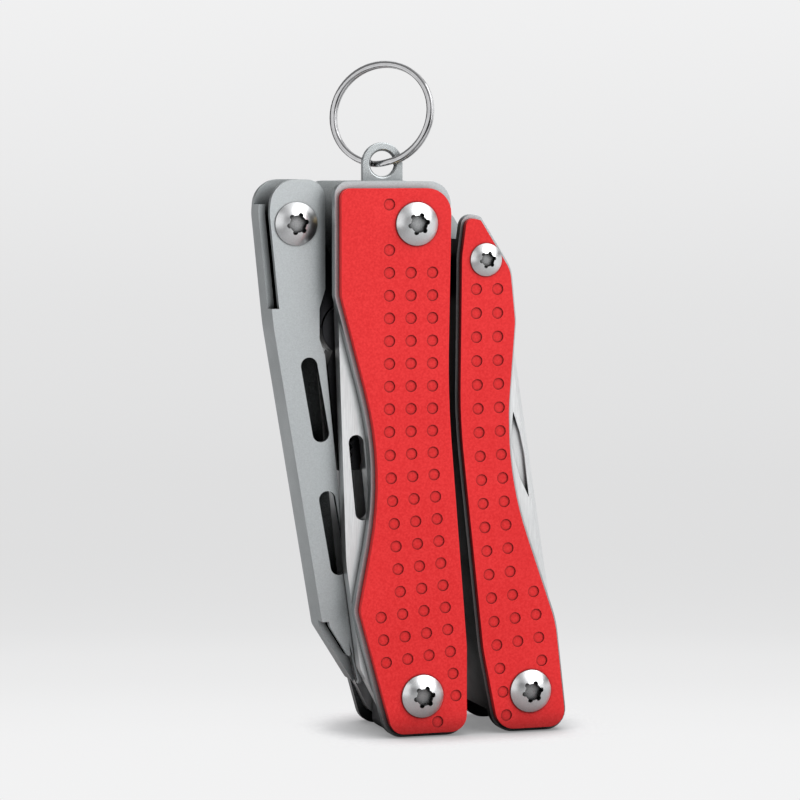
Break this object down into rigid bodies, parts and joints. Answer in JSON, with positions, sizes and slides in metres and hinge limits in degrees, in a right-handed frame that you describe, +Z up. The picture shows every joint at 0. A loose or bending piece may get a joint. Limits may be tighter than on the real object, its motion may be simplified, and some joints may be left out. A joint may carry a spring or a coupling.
{
  "type": "multi tool",
  "caption": "Folding pocket multi tool: scaled handles around a plier head, with fold-out knife, file, drivers, bottle opener and a split key ring.",
  "frame": {"origin": "middle of the foot of the centre handle, on the floor, in the middle plane", "axes": "+X to the right across the handles, +Y to the back through their thickness, +Z up their length"},
  "size_m": [0.036, 0.0202, 0.079],
  "materials": {
    "red_scale": "matte, fine-grained red anodised scale with round grip dimples",
    "satin_steel": "satin grey bead-blasted steel",
    "blade_steel": "bright brushed steel",
    "screw_steel": "bright turned steel",
    "dark_steel": "dark oiled steel",
    "brass_washer": "plain turned brass",
    "ring_steel": "polished plated wire"
  },
  "bodies": {
    "center_handle": {"center_front_scale": "red_scale", "center_front_liner": "satin_steel", "center_back_liner": "satin_steel", "center_back_scale": "red_scale", "lanyard_plate": "satin_steel", "center_spacer": "dark_steel", "hinge_block": "dark_steel", "hinge_dowel": "screw_steel", "lever_spring": "dark_steel", "plier_pivot_barrel": "screw_steel", "plier_pivot_screw": "screw_steel", "plier_washers": "brass_washer", "center_tool_barrel": "screw_steel", "center_tool_screw": "screw_steel"},
    "plier_right_lever": {"plier_jaw_right": "dark_steel", "plier_rivet": "screw_steel"},
    "plier_left_lever": {"plier_jaw_left": "dark_steel", "plier_spring": "dark_steel"},
    "left_handle": {"left_channel": "satin_steel", "left_pivot_barrel": "screw_steel", "left_pivot_screw": "screw_steel"},
    "slotted_tool": {"slotted_blade": "blade_steel"},
    "opener_tool": {"bottle_opener": "blade_steel"},
    "lever_handle": {"lever_channel": "satin_steel", "lever_front_scale": "red_scale", "lever_back_scale": "red_scale", "lever_spacer": "brass_washer", "lever_hinge_barrel": "screw_steel", "lever_hinge_screw": "screw_steel", "lever_tool_barrel": "screw_steel", "lever_tool_screw": "screw_steel"},
    "knife_tool": {"knife_blade": "blade_steel"},
    "file_tool": {"nail_file": "blade_steel"},
    "driver_tool": {"phillips_driver": "blade_steel"},
    "key_ring": {"split_ring": "ring_steel"}
  },
  "joints": [
    {"name": "plier_fold", "type": "hinge", "parent": "center_handle", "child": "plier_right_lever", "pos_m": [-0.0007, 0, 0.0598], "axis": [0, 1, 0], "range_deg": [0, 175]},
    {"name": "left_handle_fold", "type": "hinge", "parent": "plier_left_lever", "child": "left_handle", "pos_m": [-0.0139, 0, 0.0598], "axis": [0, 1, 0], "range_deg": [0, 165]},
    {"name": "jaw_open", "type": "hinge", "parent": "plier_right_lever", "child": "plier_left_lever", "pos_m": [-0.0073, 0, 0.0475], "axis": [0, 1, 0], "range_deg": [-16.1, 0]},
    {"name": "slotted_blade_open", "type": "hinge", "parent": "center_handle", "child": "slotted_tool", "pos_m": [0, 0, 0.0049], "axis": [0, 1, 0], "range_deg": [-170, 0]},
    {"name": "bottle_opener_open", "type": "hinge", "parent": "center_handle", "child": "opener_tool", "pos_m": [0, 0, 0.0049], "axis": [0, 1, 0], "range_deg": [-170, 0]},
    {"name": "lever_swing", "type": "hinge", "parent": "center_handle", "child": "lever_handle", "pos_m": [0.0077, 0, 0.0556], "axis": [0, 1, 0], "range_deg": [-12, 0]},
    {"name": "knife_open", "type": "hinge", "parent": "lever_handle", "child": "knife_tool", "pos_m": [0.0133, 0, 0.0049], "axis": [0, 1, 0], "range_deg": [0, 170]},
    {"name": "nail_file_open", "type": "hinge", "parent": "lever_handle", "child": "file_tool", "pos_m": [0.0133, 0, 0.0049], "axis": [0, 1, 0], "range_deg": [0, 170]},
    {"name": "phillips_open", "type": "hinge", "parent": "lever_handle", "child": "driver_tool", "pos_m": [0.0133, 0, 0.0049], "axis": [0, 1, 0], "range_deg": [0, 170]},
    {"name": "ring_swing", "type": "hinge", "parent": "center_handle", "child": "key_ring", "pos_m": [-0.0009, 0.0063, 0.0667], "axis": [-0.8183, 0.5685, -0.0846], "range_deg": [-91, 65]}
  ],
  "couplings": [
    {"joint": "jaw_open", "follows": "left_handle_fold", "ratio": -0.097}
  ]
}
